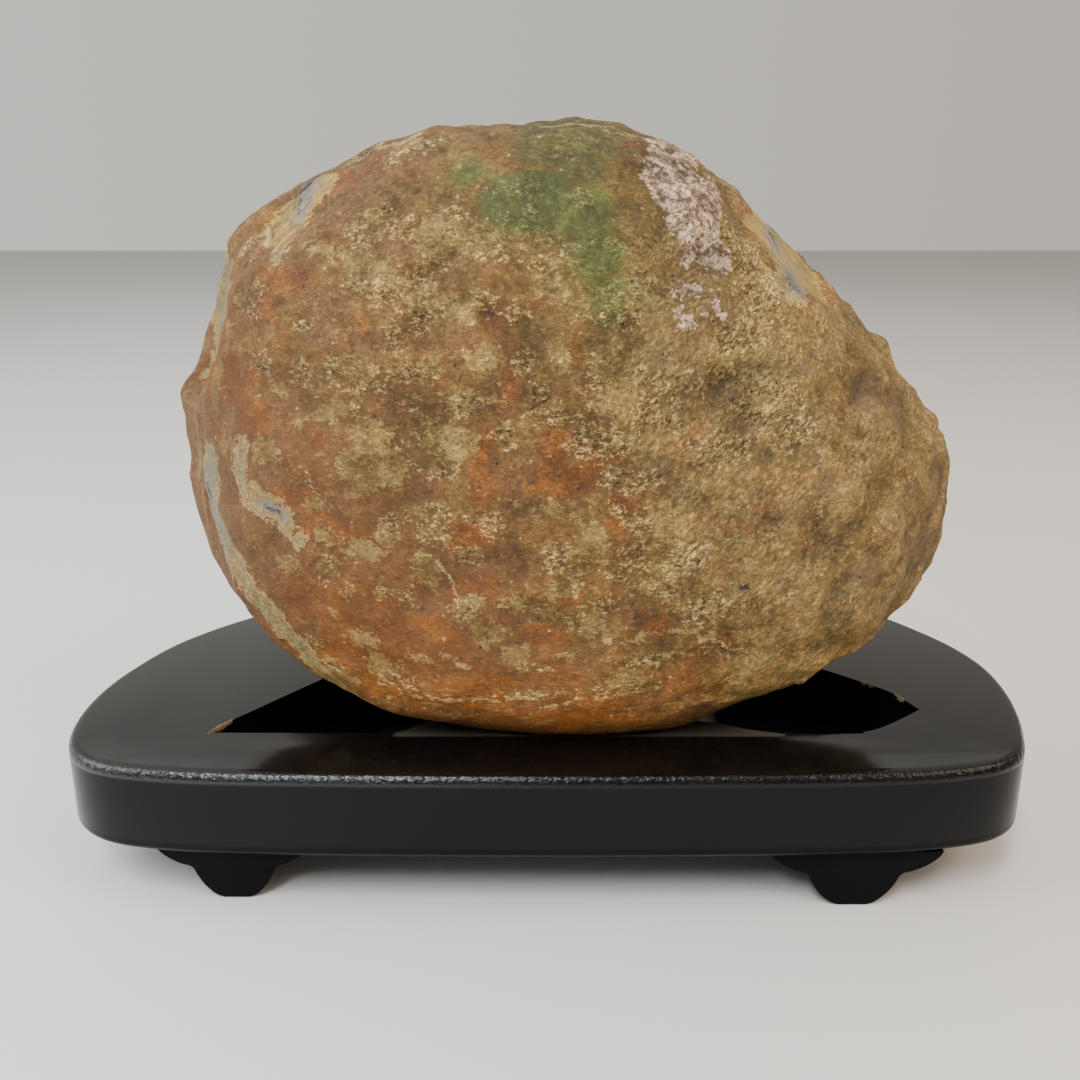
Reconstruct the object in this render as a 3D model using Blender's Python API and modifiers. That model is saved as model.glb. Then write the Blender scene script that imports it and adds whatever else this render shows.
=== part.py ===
"""Viewing stone on a black lacquered wooden stand.

A rounded, weathered boulder with a rind sits in the carved recess of an oval plank, which stands on
four small scalloped feet.  Lengths are in millimetres here and are scaled to metres as they enter
Blender.  +X is the stand's long way, +Y its back, +Z up; the origin is on the ground under the
middle of the stand.
"""

import math

import bmesh
import bpy
from mathutils import Vector, noise

MM = 0.001
GAP = 0.3                      # clearance between pieces that touch

# --- stand: driving dimensions --------------------------------------------------------------------

STAND_DEPTH = 122.0            # the outline below makes the stand 230 wide
SLAB_THICKNESS = 20.7
SLAB_EDGE_RADIUS = 2.5
FOOT_HEIGHT = 14.0
SLAB_TOP = FOOT_HEIGHT + SLAB_THICKNESS
FRONT = -STAND_DEPTH / 2       # Y of the plank's front edge

# Outline of the plank seen from above: distance right of its middle, distance behind its front edge.
SLAB_OUTLINE = [
    (0.0, 0.0), (60.0, 0.8), (88.0, 3.4), (102.5, 9.5), (109.5, 23.0), (114.2, 43.0),
    (114.2, 63.0), (107.0, 83.0), (93.0, 101.5), (62.0, 116.5), (0.0, 122.0), (-55.0, 116.0),
    (-84.0, 101.0), (-103.5, 79.0), (-112.5, 56.0), (-115.0, 36.0), (-112.0, 18.0),
    (-103.5, 7.4), (-88.0, 2.8), (-60.0, 0.8),
]

# Recess, in the same measures.  Its two pointed ends are corners, the rest is a smooth line.
RECESS_DEPTH = 14.0
RECESS_LEFT_TIP = (-80.5, 20.3)
RECESS_RIGHT_TIP = (88.0, 32.3)
RECESS_FRONT_EDGE = [(0.0, 20.0), (64.0, 19.8), (71.5, 20.8), (78.0, 24.3)]
RECESS_BACK_EDGE = [
    (84.5, 41.5), (78.0, 49.0), (68.0, 58.5), (51.0, 71.0), (24.0, 80.0), (-12.0, 80.0),
    (-44.0, 70.5), (-61.0, 48.5), (-72.5, 32.5), (-77.5, 25.5),
]

# A tongue of wood is left in the recess in front, and the rim over it is cut to a slope: the seat.
TONGUE_OUTLINE = [(-39.0, 14.0), (-35.0, 25.0), (-28.0, 33.5), (4.0, 41.0), (33.0, 34.5),
                  (45.0, 26.0), (54.0, 14.0)]
FRONT_SEAT_LEFT, FRONT_SEAT_RIGHT = -37.7, 53.0
FRONT_SEAT_START = 17.8        # where the slope leaves the plank's top, behind the front edge
FRONT_SEAT_SLOPE = math.radians(13.0)
BACK_SEAT_LEFT, BACK_SEAT_RIGHT = -34.0, 46.0
BACK_SEAT_START = 86.5
BACK_SEAT_SLOPE = math.radians(30.0)
CUT_MARGIN = 5.0               # how far a cutter reaches past what it cuts

# --- feet ------------------------------------------------------------------------------------------

FOOT_THICKNESS = 14.0
# Scalloped half profile: distance from the foot's middle, distance below the plank.
FOOT_PROFILE = [
    (19.5, 0.0), (18.6, 1.6), (16.2, 3.6), (13.4, 5.0), (10.6, 6.0), (9.4, 8.2),
    (7.6, 11.0), (5.2, 13.2), (3.2, FOOT_HEIGHT),
]
FEET = {                       # middle of the foot, its front face behind the front edge, width scale
    "foot_front_left": (-73.0, 7.0, 0.90),
    "foot_front_right": (66.8, 4.2, 1.0),
    "foot_back_left": (-58.0, 86.0, 0.95),
    "foot_back_right": (59.0, 87.0, 0.95),
}

# --- stone -----------------------------------------------------------------------------------------

STONE_MIDDLE = Vector((3.0, -10.0, 96.0))
STONE_FRONT, STONE_BACK = 50.0, 52.0
STONE_SQUARENESS = 2.7         # 2 is an ellipsoid, more is fuller towards its faces
STONE_DIVISIONS = 26           # mesh divisions along each side of the cube the stone grows from
STONE_SPREAD = Vector((1.0, 0.66, 0.86))

# Outline seen from the front: degrees from +X towards +Z, distance from the stone's middle.
STONE_OUTLINE = [
    (0, 88.5), (14, 77.5), (28, 70.5), (40, 67.5), (52, 66.5), (64, 69.5), (78, 72.5),
    (94, 73.0), (110, 76.5), (124, 81.0), (136, 85.0), (148, 89.5), (157, 89.5), (164, 90.0),
    (176, 90.5), (190, 89.5), (206, 86.0), (220, 81.0), (234, 76.5), (248, 71.0), (264, 70.5),
    (280, 71.0), (296, 73.0), (312, 76.5), (328, 84.0), (344, 91.5),
]

# Broad faces: direction they look in, distance from the stone's middle, softness of the arris.
STONE_FACES = [
    ((-0.86, -0.50, -0.05), 81.5, 3.0),    # left side, turned away behind the front ridge
    ((0.62, -0.42, 0.66), 66.5, 2.0),      # upper right, behind the right ridge
    ((-0.50, -0.42, 0.76), 77.5, 2.0),     # upper left shoulder
    ((0.70, -0.68, -0.20), 77.0, 5.0),     # lower right flank
    ((0.10, 0.95, 0.30), 49.5, 3.0),       # back, a little sloping
    ((-0.66, 0.70, 0.25), 73.0, 3.0),      # back left
    ((0.66, 0.72, -0.22), 73.0, 3.0),      # back right
    ((0.05, 0.50, 0.86), 70.5, 4.0),       # top, falling away behind
]

# Polished windows: small flat cuts with a step at their edge.
# Direction they look in, distance from the middle, middle of the window, radius of the window.
WINDOW_STEP = 3.0
STONE_WINDOWS = [
    ((-0.93, -0.28, 0.24), 83.0, Vector((-80.0, -16.0, 31.0)), 18.0),
    ((-0.60, -0.36, 0.72), 80.0, Vector((-57.0, -20.0, 55.0)), 15.0),
    ((0.66, -0.30, 0.69), 66.5, Vector((46.0, -18.0, 46.0)), 15.0),
]

# Hollows (negative) and knobs (positive): middle, radius, height.
STONE_MARKS = [
    (Vector((37.0, -45.0, 4.0)), 8.0, -1.8),      # dimple right of the middle
    (Vector((59.0, -36.0, -16.0)), 5.0, -1.2),
    (Vector((-18.0, -50.0, 22.0)), 7.0, -0.9),
    (Vector((12.0, -48.0, 38.0)), 9.0, -0.8),
    (Vector((66.0, -14.0, 38.0)), 6.0, 2.6),      # knob on the upper right edge
    (Vector((-86.0, -6.0, 16.0)), 7.0, 1.6),      # shoulder under the left window
    (Vector((-22.0, -44.0, -40.0)), 10.0, 1.0),
    (Vector((20.0, -46.0, -34.0)), 12.0, 1.0),
    (Vector((84.0, 6.0, -8.0)), 7.0, 1.8),
    (Vector((78.0, -8.0, -30.0)), 8.0, -1.6),
    (Vector((-30.0, 44.0, 26.0)), 12.0, -2.0),
    (Vector((34.0, 46.0, -10.0)), 14.0, -2.2),
    (Vector((-8.0, 46.0, -30.0)), 10.0, 1.6),
    (Vector((-12.0, 12.0, 71.0)), 11.0, -1.4),
]

SWELL_SIZE, SWELL_HEIGHT = 46.0, 1.3      # slow swelling of the whole surface
LUMP_SIZE, LUMP_HEIGHT = 15.0, 1.0        # rounded lumps
GRAIN_SIZE, GRAIN_HEIGHT = 8.5, 0.45      # knobbly grain that the mesh can still carry
ROUGH_SIDE_GAIN = 1.5                     # the right end is rougher than the left

# --- materials: colour, roughness, metallic --------------------------------------------------------

MATERIALS = {
    "stone_rind": ((0.34, 0.20, 0.09), 0.75, 0.0),
    "black_lacquer": ((0.012, 0.012, 0.014), 0.16, 0.0),
}


# --- shared helpers --------------------------------------------------------------------------------

def clear_scene():
    """Remove whatever the scene holds."""
    for obj in list(bpy.data.objects):
        bpy.data.objects.remove(obj, do_unlink=True)


def make_collection(name):
    """A collection linked to the scene."""
    collection = bpy.data.collections.new(name)
    bpy.context.scene.collection.children.link(collection)
    return collection


def make_material(name):
    """Principled material from the table above."""
    color, roughness, metallic = MATERIALS[name]
    material = bpy.data.materials.new(name)
    material.use_nodes = True
    shader = material.node_tree.nodes["Principled BSDF"]
    shader.inputs["Base Color"].default_value = (*color, 1.0)
    shader.inputs["Roughness"].default_value = roughness
    shader.inputs["Metallic"].default_value = metallic
    material.diffuse_color = (*color, 1.0)
    return material


def link_object(obj, collection, material=None):
    """Put an object in one collection only and give it its material."""
    for other in list(obj.users_collection):
        other.objects.unlink(obj)
    collection.objects.link(obj)
    if material:
        obj.data.materials.clear()
        obj.data.materials.append(material)


def smooth_segment(before, start, end, after, steps):
    """Catmull-Rom points from start up to, but not including, end."""
    points = []
    for step in range(steps):
        t = step / steps
        points.append(tuple(
            0.5 * (2 * p1 + (p2 - p0) * t + (2 * p0 - 5 * p1 + 4 * p2 - p3) * t * t
                   + (3 * p1 - p0 - 3 * p2 + p3) * t ** 3)
            for p0, p1, p2, p3 in zip(before, start, end, after)))
    return points


def smooth_loop(points, steps):
    """Closed smooth line through the points."""
    count = len(points)
    line = []
    for i in range(count):
        line += smooth_segment(points[i - 1], points[i], points[(i + 1) % count],
                               points[(i + 2) % count], steps)
    return line


def smooth_line(points, steps):
    """Open smooth line through the points, without its last one."""
    line = []
    for i in range(len(points) - 1):
        before = points[max(i - 1, 0)]
        after = points[min(i + 2, len(points) - 1)]
        line += smooth_segment(before, points[i], points[i + 1], after, steps)
    return line


def extrude_outline(name, outline, bottom, top):
    """Solid with a flat outline, from one height to another: a filled 2D curve made a mesh."""
    curve = bpy.data.curves.new(name + "_outline", "CURVE")
    curve.dimensions = "2D"
    curve.fill_mode = "BOTH"
    curve.extrude = (top - bottom) / 2 * MM
    spline = curve.splines.new("POLY")
    spline.points.add(len(outline) - 1)
    for point, (x, y) in zip(spline.points, outline):
        point.co = (x * MM, y * MM, 0.0, 1.0)
    spline.use_cyclic_u = True
    source = bpy.data.objects.new(name + "_outline", curve)
    bpy.context.scene.collection.objects.link(source)
    source.location.z = (top + bottom) / 2 * MM
    bpy.context.view_layer.update()
    depsgraph = bpy.context.evaluated_depsgraph_get()
    mesh = bpy.data.meshes.new_from_object(source.evaluated_get(depsgraph))
    mesh.transform(source.matrix_world)
    bpy.data.objects.remove(source, do_unlink=True)
    shape = bmesh.new()
    shape.from_mesh(mesh)
    bmesh.ops.remove_doubles(shape, verts=shape.verts, dist=0.00001)
    bmesh.ops.recalc_face_normals(shape, faces=shape.faces)
    shape.to_mesh(mesh)
    shape.free()
    mesh.name = name
    return bpy.data.objects.new(name, mesh)


def make_cutter(obj, collection):
    """Keep a cutting shape out of the finished model."""
    link_object(obj, collection)
    obj.hide_render = True
    obj.display_type = "WIRE"


def cut(obj, cutter):
    """Take a cutter away from an object with a Boolean modifier."""
    modifier = obj.modifiers.new(cutter.name, "BOOLEAN")
    modifier.operation = "DIFFERENCE"
    modifier.solver = "EXACT"
    modifier.object = cutter


# --- stand -----------------------------------------------------------------------------------------

def from_front(points):
    """Turn distances behind the front edge into the model's Y."""
    return [(x, y + FRONT) for x, y in points]


def seat_height(y, start, slope, direction):
    """Height of a seat's slope at a place, from the line where it leaves the plank's top."""
    return SLAB_TOP - direction * (y - (FRONT + start)) * math.tan(slope)


def seat_cutter(name, left, right, start, slope, direction):
    """Block whose underside is the seat's slope.  direction is 1 in front and -1 behind."""
    length = 60.0
    height = 30.0
    bpy.ops.mesh.primitive_cube_add(size=1.0)
    block = bpy.context.active_object
    block.name = name
    block.data.name = name
    for vertex in block.data.vertices:
        x = left if vertex.co.x < 0 else right
        y = vertex.co.y * length
        z = height if vertex.co.z > 0 else 0.0
        turned_y = y * math.cos(slope) + direction * z * math.sin(slope)
        turned_z = z * math.cos(slope) - direction * y * math.sin(slope)
        vertex.co = (x * MM, (turned_y + FRONT + start) * MM, (turned_z + SLAB_TOP) * MM)
    return block


def build_stand_top(collection, cutters, material):
    """Oval plank with rounded edges, the blind recess and the sloping seats in its rims."""
    slab = extrude_outline("stand_top", smooth_loop(from_front(SLAB_OUTLINE), 5),
                           FOOT_HEIGHT, SLAB_TOP)
    link_object(slab, collection, material)
    rounding = slab.modifiers.new("rounded_edges", "BEVEL")
    rounding.width = SLAB_EDGE_RADIUS * MM
    rounding.segments = 2
    rounding.limit_method = "ANGLE"
    rounding.angle_limit = math.radians(40)

    front_edge = smooth_line(from_front([RECESS_LEFT_TIP] + RECESS_FRONT_EDGE
                                        + [RECESS_RIGHT_TIP]), 3)
    back_edge = smooth_line(from_front([RECESS_RIGHT_TIP] + RECESS_BACK_EDGE
                                       + [RECESS_LEFT_TIP]), 3)
    floor = SLAB_TOP - RECESS_DEPTH
    recess = extrude_outline("recess_cutter", front_edge + back_edge, floor,
                             SLAB_TOP + CUT_MARGIN)
    make_cutter(recess, cutters)
    tongue = extrude_outline("tongue", smooth_loop(from_front(TONGUE_OUTLINE), 3),
                             floor - CUT_MARGIN, SLAB_TOP + 2 * CUT_MARGIN)
    make_cutter(tongue, cutters)
    cut(recess, tongue)
    cut(slab, recess)

    seats = [
        ("front_seat_cutter", FRONT_SEAT_LEFT, FRONT_SEAT_RIGHT, FRONT_SEAT_START,
         FRONT_SEAT_SLOPE, 1),
        ("back_seat_cutter", BACK_SEAT_LEFT, BACK_SEAT_RIGHT, BACK_SEAT_START,
         BACK_SEAT_SLOPE, -1),
    ]
    for name, left, right, start, slope, direction in seats:
        block = seat_cutter(name, left, right, start, slope, direction)
        make_cutter(block, cutters)
        cut(slab, block)
    return slab


def build_foot(name, collection, material):
    """Scalloped foot: its profile stands upright and is as thick as the foot."""
    middle, inset, scale = FEET[name]
    right_side = smooth_line([(x * scale, -z) for x, z in FOOT_PROFILE], 2)
    right_side.append((FOOT_PROFILE[-1][0] * scale, -FOOT_PROFILE[-1][1]))
    left_side = [(-x, z) for x, z in reversed(right_side)]
    foot = extrude_outline(name, right_side + left_side, 0.0, FOOT_THICKNESS)
    link_object(foot, collection, material)
    front = FRONT + inset
    top = FOOT_HEIGHT - GAP
    squeeze = top / FOOT_HEIGHT
    for vertex in foot.data.vertices:
        x, z, depth = vertex.co / MM
        vertex.co = Vector((x + middle, front + depth, top + z * squeeze)) * MM
    shape = bmesh.new()
    shape.from_mesh(foot.data)
    bmesh.ops.recalc_face_normals(shape, faces=shape.faces)
    shape.to_mesh(foot.data)
    shape.free()
    return foot


# --- stone -----------------------------------------------------------------------------------------

def outline_radius(angle):
    """Distance from the middle to the front outline at an angle, on a smooth line."""
    count = len(STONE_OUTLINE)
    index = count - 1
    for i, (degrees, _) in enumerate(STONE_OUTLINE):
        if degrees <= angle:
            index = i
    turns = [STONE_OUTLINE[(index + k) % count][0] + 360 * ((index + k) // count)
             for k in (-1, 0, 1, 2)]
    radii = [STONE_OUTLINE[(index + k) % count][1] for k in (-1, 0, 1, 2)]
    width = turns[2] - turns[1]
    t = (angle - turns[1]) / width
    slope_start = (radii[2] - radii[0]) / (turns[2] - turns[0]) * width
    slope_end = (radii[3] - radii[1]) / (turns[3] - turns[1]) * width
    return ((2 * t ** 3 - 3 * t ** 2 + 1) * radii[1] + (t ** 3 - 2 * t ** 2 + t) * slope_start
            + (3 * t ** 2 - 2 * t ** 3) * radii[2] + (t ** 3 - t ** 2) * slope_end)


def smoothstep(low, high, value):
    """0 below low, 1 above high, smooth between."""
    t = min(max((value - low) / (high - low), 0.0), 1.0)
    return t * t * (3.0 - 2.0 * t)


def body_point(direction):
    """Point of the smooth body: the front outline, flattened from front to back."""
    across = math.hypot(direction.x, direction.z)
    angle = math.degrees(math.atan2(direction.z, direction.x)) % 360.0
    depth = STONE_FRONT if direction.y < 0 else STONE_BACK
    power = STONE_SQUARENESS
    reach = ((across / outline_radius(angle)) ** power
             + (abs(direction.y) / depth) ** power) ** (-1.0 / power)
    return direction * reach


def press_on_face(point, looks, distance, softness):
    """Push a point back onto a face, with a soft arris."""
    normal = Vector(looks).normalized()
    over = normal.dot(point) - distance
    if over <= -softness:
        return point
    if over < softness:
        over = (over + softness) ** 2 / (4.0 * softness)
    return point - normal * over


def cut_window(point, looks, distance, middle, radius):
    """Flat cut that stops with a step at the window's edge."""
    normal = Vector(looks).normalized()
    over = normal.dot(point) - distance
    inside = 1.0 - smoothstep(radius - WINDOW_STEP, radius, (point - middle).length)
    return point - normal * max(over, 0.0) * inside


def surface_relief(point):
    """Height of the natural relief at a point: swell, lumps and grain."""
    roughness = 1.0 + (ROUGH_SIDE_GAIN - 1.0) * smoothstep(-20.0, 60.0, point.x)
    swell = noise.noise(point / SWELL_SIZE + Vector((3.1, 0.4, 7.7))) * SWELL_HEIGHT
    nearest = noise.voronoi(point / LUMP_SIZE)[0][0]
    lump = (0.5 - nearest) * 2.0 * LUMP_HEIGHT
    grain = noise.fractal(point / GRAIN_SIZE, 0.8, 2.1, 3) * GRAIN_HEIGHT
    return swell + (lump + grain) * roughness


def mark_height(point):
    """Height of the named hollows and knobs at a point."""
    height = 0.0
    for middle, radius, rise in STONE_MARKS:
        height += rise * math.exp(-((point - middle).length / radius) ** 2)
    return height


def rest_on_seats(point):
    """Keep the underside clear of the two sloping seats in the stand."""
    world = point + STONE_MIDDLE
    for start, slope, direction in ((FRONT_SEAT_START, FRONT_SEAT_SLOPE, 1),
                                    (BACK_SEAT_START, BACK_SEAT_SLOPE, -1)):
        seat = seat_height(world.y, start, slope, direction) + GAP / math.cos(slope)
        if world.z < seat:
            world.z = seat
    return world - STONE_MIDDLE


def stone_point(direction):
    """Finished surface point, from the stone's middle, in a given direction."""
    point = body_point(direction)
    for looks, distance, softness in STONE_FACES:
        point = press_on_face(point, looks, distance, softness)
    outwards = (direction + Vector((0.0, direction.y * 0.5, 0.0))).normalized()
    point = point + outwards * (surface_relief(point) + mark_height(point))
    for looks, distance, middle, radius in STONE_WINDOWS:
        point = cut_window(point, looks, distance, middle, radius)
    return rest_on_seats(point)


def build_stone(collection, material):
    """The stone, grown from a finely divided cube whose points are sent out to its surface."""
    bpy.ops.mesh.primitive_cube_add(size=2.0)
    stone = bpy.context.active_object
    stone.name = "stone"
    stone.data.name = "stone"
    shape = bmesh.new()
    shape.from_mesh(stone.data)
    bmesh.ops.subdivide_edges(shape, edges=shape.edges[:], cuts=STONE_DIVISIONS - 1,
                              use_grid_fill=True)
    for vertex in shape.verts:
        even = Vector([math.tan(c * math.pi / 4.0) for c in vertex.co])
        spread = Vector([c * s for c, s in zip(even.normalized(), STONE_SPREAD)])
        vertex.co = (stone_point(spread.normalized()) + STONE_MIDDLE) * MM
    bmesh.ops.recalc_face_normals(shape, faces=shape.faces)
    shape.to_mesh(stone.data)
    shape.free()
    stone.data.shade_smooth()
    link_object(stone, collection, material)
    return stone


def main():
    clear_scene()
    parts = make_collection("viewing_stone")
    cutters = make_collection("cutters")
    rind = make_material("stone_rind")
    lacquer = make_material("black_lacquer")
    build_stone(parts, rind)
    build_stand_top(parts, cutters, lacquer)
    for name in FEET:
        build_foot(name, parts, lacquer)


main()
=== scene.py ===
"""Looks of the viewing stone on its black lacquered stand.

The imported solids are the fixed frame.  The stone is dressed with a finer copy of its own solid, carved
and roughened; the plank and its feet are modelled again with round edges and given their lacquer.
Lengths are in millimetres here, in the frame's axes, and are scaled to metres as they enter Blender.
"""

import math

import bpy
import numpy as np
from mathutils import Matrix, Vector, noise


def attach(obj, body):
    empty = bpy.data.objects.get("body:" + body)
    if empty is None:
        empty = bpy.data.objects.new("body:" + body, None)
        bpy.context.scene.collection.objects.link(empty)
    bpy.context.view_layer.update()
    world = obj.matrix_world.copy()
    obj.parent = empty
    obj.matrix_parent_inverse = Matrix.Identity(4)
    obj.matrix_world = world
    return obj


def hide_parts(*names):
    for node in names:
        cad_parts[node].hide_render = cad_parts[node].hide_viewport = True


MM = 0.001
NOISE_SEED = 5                 # holds the pushed outlines still from run to run

noise.seed_set(NOISE_SEED)

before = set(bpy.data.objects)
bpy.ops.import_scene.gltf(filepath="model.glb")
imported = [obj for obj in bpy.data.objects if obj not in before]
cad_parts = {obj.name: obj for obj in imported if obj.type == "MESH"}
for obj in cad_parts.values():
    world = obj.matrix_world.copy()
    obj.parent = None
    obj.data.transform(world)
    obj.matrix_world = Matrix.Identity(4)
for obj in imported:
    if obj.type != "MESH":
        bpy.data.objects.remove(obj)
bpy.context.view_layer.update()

# --- sizes shared with the solids ------------------------------------------------------------------

STAND_DEPTH = 122.0
FRONT = -STAND_DEPTH / 2
FOOT_HEIGHT = 14.0
SLAB_THICKNESS = 20.7
SLAB_TOP = FOOT_HEIGHT + SLAB_THICKNESS
SLAB_EDGE_RADIUS = 2.5
GAP = 0.3                      # between the feet and the plank
RECESS_DEPTH = 14.0
RECESS_FLOOR = SLAB_TOP - RECESS_DEPTH

# Distance right of the plank's middle, distance behind its front edge.
SLAB_OUTLINE = [
    (0.0, 0.0), (60.0, 0.8), (88.0, 3.4), (102.5, 9.5), (109.5, 23.0), (114.2, 43.0),
    (114.2, 63.0), (107.0, 83.0), (93.0, 101.5), (62.0, 116.5), (0.0, 122.0), (-55.0, 116.0),
    (-84.0, 101.0), (-103.5, 79.0), (-112.5, 56.0), (-115.0, 36.0), (-112.0, 18.0),
    (-103.5, 7.4), (-88.0, 2.8), (-60.0, 0.8),
]
RECESS_LEFT_TIP = (-80.5, 20.3)
RECESS_RIGHT_TIP = (88.0, 32.3)
RECESS_FRONT_EDGE = [(0.0, 20.0), (64.0, 19.8), (71.5, 20.8), (78.0, 24.3)]
RECESS_BACK_EDGE = [
    (84.5, 41.5), (78.0, 49.0), (68.0, 58.5), (51.0, 71.0), (24.0, 80.0), (-12.0, 80.0),
    (-44.0, 70.5), (-61.0, 48.5), (-72.5, 32.5), (-77.5, 25.5),
]
TONGUE_OUTLINE = [(-39.0, 14.0), (-35.0, 25.0), (-28.0, 33.5), (4.0, 41.0), (33.0, 34.5),
                  (45.0, 26.0), (54.0, 14.0)]
FRONT_SEAT = (-37.7, 53.0, 17.8, math.radians(13.0), 1)      # left, right, start, slope, side
BACK_SEAT = (-34.0, 46.0, 86.5, math.radians(30.0), -1)
CUT_MARGIN = 5.0               # how far a cutter reaches past what it cuts

FOOT_THICKNESS = 14.0
FOOT_EDGE_RADIUS = 0.7
FOOT_PROFILE = [
    (19.5, 0.0), (18.6, 1.6), (16.2, 3.6), (13.4, 5.0), (10.6, 6.0), (9.4, 8.2),
    (7.6, 11.0), (5.2, 13.2), (3.2, FOOT_HEIGHT),
]
FEET = {                       # middle of the foot, its front face behind the front edge, width scale
    "foot_front_left": (-73.0, 7.0, 0.90),
    "foot_front_right": (66.8, 4.2, 1.0),
    "foot_back_left": (-58.0, 86.0, 0.95),
    "foot_back_right": (59.0, 87.0, 0.95),
}

# --- camera ----------------------------------------------------------------------------------------

IMAGE_SIZE = 1080
FOCAL_PIXELS = 1082.0
CAMERA_PLACE = Vector((-3.7, FRONT - 205.8, SLAB_TOP + 115.7))
CAMERA_PITCH = math.radians(17.0)


def make_camera():
    """Close, wide view, a little from above."""
    data = bpy.data.cameras.new("camera")
    data.lens = FOCAL_PIXELS / IMAGE_SIZE * data.sensor_width
    data.clip_start = 10.0 * MM
    camera = bpy.data.objects.new("camera", data)
    camera.location = CAMERA_PLACE * MM
    camera.rotation_euler = (math.pi / 2 - CAMERA_PITCH, 0.0, 0.0)
    bpy.context.scene.collection.objects.link(camera)
    bpy.context.scene.camera = camera


# --- shader helpers --------------------------------------------------------------------------------

class Shading:
    """A material being wired up: each method adds one node and returns its output."""

    def __init__(self, name):
        self.material = bpy.data.materials.new(name)
        self.material.use_nodes = True
        self.tree = self.material.node_tree
        self.shader = self.tree.nodes["Principled BSDF"]

    def node(self, kind, inputs=(), **settings):
        """Add a node, set its properties, and link or set its inputs."""
        made = self.tree.nodes.new(kind)
        for name, value in settings.items():
            setattr(made, name, value)
        for socket, value in dict(inputs).items():
            self.put(made.inputs[socket], value)
        return made

    def put(self, socket, value):
        """Link an output to a socket, or set the socket's own value."""
        if isinstance(value, bpy.types.NodeSocket):
            self.tree.links.new(value, socket)
        elif isinstance(value, tuple) and len(value) == 3 and socket.type == "RGBA":
            socket.default_value = (*value, 1.0)
        else:
            socket.default_value = value

    def place(self):
        """The surface point in the object's own axes, in millimetres."""
        coordinates = self.node("ShaderNodeTexCoord").outputs["Object"]
        return self.vector("SCALE", coordinates, Scale=1.0 / MM)

    def vector(self, operation, first, second=None, Scale=None):
        """One step of vector arithmetic."""
        made = self.node("ShaderNodeVectorMath", {0: first}, operation=operation)
        if second is not None:
            self.put(made.inputs[1], second)
        if Scale is not None:
            self.put(made.inputs["Scale"], Scale)
        name = "Value" if operation in ("LENGTH", "DISTANCE", "DOT_PRODUCT") else "Vector"
        return made.outputs[name]

    def math(self, operation, first, second=0.0, third=0.0, clamp=False):
        """One step of arithmetic."""
        made = self.node("ShaderNodeMath", {0: first, 1: second, 2: third},
                         operation=operation, use_clamp=clamp)
        return made.outputs[0]

    def times(self, first, second):
        """Product of two values."""
        return self.math("MULTIPLY", first, second)

    def most(self, first, second):
        """The larger of two values."""
        return self.math("MAXIMUM", first, second)

    def scaled(self, value, factor, plus):
        """A value times a factor, plus another value."""
        return self.math("MULTIPLY_ADD", value, factor, plus)

    def less(self, value, mask, share):
        """A value lowered by a share of itself where a mask is 1."""
        return self.times(value, self.scaled(mask, -share, 1.0))

    def step(self, value, low, high, to_low=0.0, to_high=1.0):
        """Smooth step of a value between two limits."""
        made = self.node("ShaderNodeMapRange", {"Value": value, "From Min": low, "From Max": high,
                                                "To Min": to_low, "To Max": to_high},
                         interpolation_type="SMOOTHSTEP")
        return made.outputs["Result"]

    def noise(self, vector, size, detail=3.0, roughness=0.55, distortion=0.0, color=False):
        """Noise whose largest features are about size millimetres."""
        made = self.node("ShaderNodeTexNoise", {"Vector": vector, "Scale": 1.0 / size,
                                                "Detail": detail, "Roughness": roughness,
                                                "Distortion": distortion})
        return made.outputs["Color" if color else "Fac"]

    def warp(self, vector, size, amount, detail):
        """Push a point about by noise, to make outlines irregular."""
        push = self.vector("SUBTRACT", self.noise(vector, size, detail, color=True), (0.5, 0.5, 0.5))
        return self.vector("ADD", vector, self.vector("SCALE", push, Scale=2.0 * amount))

    def mix(self, factor, first, second, blend="MIX"):
        """Mix two colours."""
        made = self.node("ShaderNodeMix", data_type="RGBA", blend_type=blend)
        self.put(made.inputs["Factor"], factor)
        self.put(made.inputs[6], first)
        self.put(made.inputs[7], second)
        return made.outputs[2]

    def between(self, factor, first, second, vectors=False):
        """Blend two values, or two vectors."""
        made = self.node("ShaderNodeMix", data_type="VECTOR" if vectors else "FLOAT")
        self.put(made.inputs[0], factor)
        self.put(made.inputs[4 if vectors else 2], first)
        self.put(made.inputs[5 if vectors else 3], second)
        return made.outputs[1 if vectors else 0]

    def painted(self, name, output="Color"):
        """What is painted on the mesh's points under a name."""
        return self.node("ShaderNodeAttribute", attribute_name=name).outputs[output]

    def channels(self, color):
        """A colour's three channels."""
        return [self.node("ShaderNodeSeparateColor", {0: color}).outputs[i] for i in range(3)]

    def along(self, vector, start, end, low, high):
        """1 on the line between two points, falling to 0 between two distances from it."""
        run = Vector(end) - Vector(start)
        offset = self.vector("SUBTRACT", vector, tuple(start))
        share = self.math("MULTIPLY", self.vector("DOT_PRODUCT", offset, tuple(run)),
                          1.0 / run.length_squared, clamp=True)
        away = self.vector("DISTANCE", offset, self.vector("SCALE", tuple(run), Scale=share))
        return self.step(away, low, high, 1.0, 0.0)

    def grey(self, value):
        """A value as a grey colour."""
        return self.node("ShaderNodeCombineColor", {0: value, 1: value, 2: value}).outputs[0]

    def sliver(self, vector, middle, turn, reach, low=0.8, high=1.0):
        """1 inside an ellipsoid turned about Z, falling to 0 across its edge."""
        turned = self.node("ShaderNodeMapping", {"Vector": vector, "Location": middle, "Scale": reach,
                                                 "Rotation": (0.0, 0.0, turn)}, vector_type="TEXTURE")
        return self.step(self.vector("LENGTH", turned.outputs[0]), low, high, 1.0, 0.0)

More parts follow.
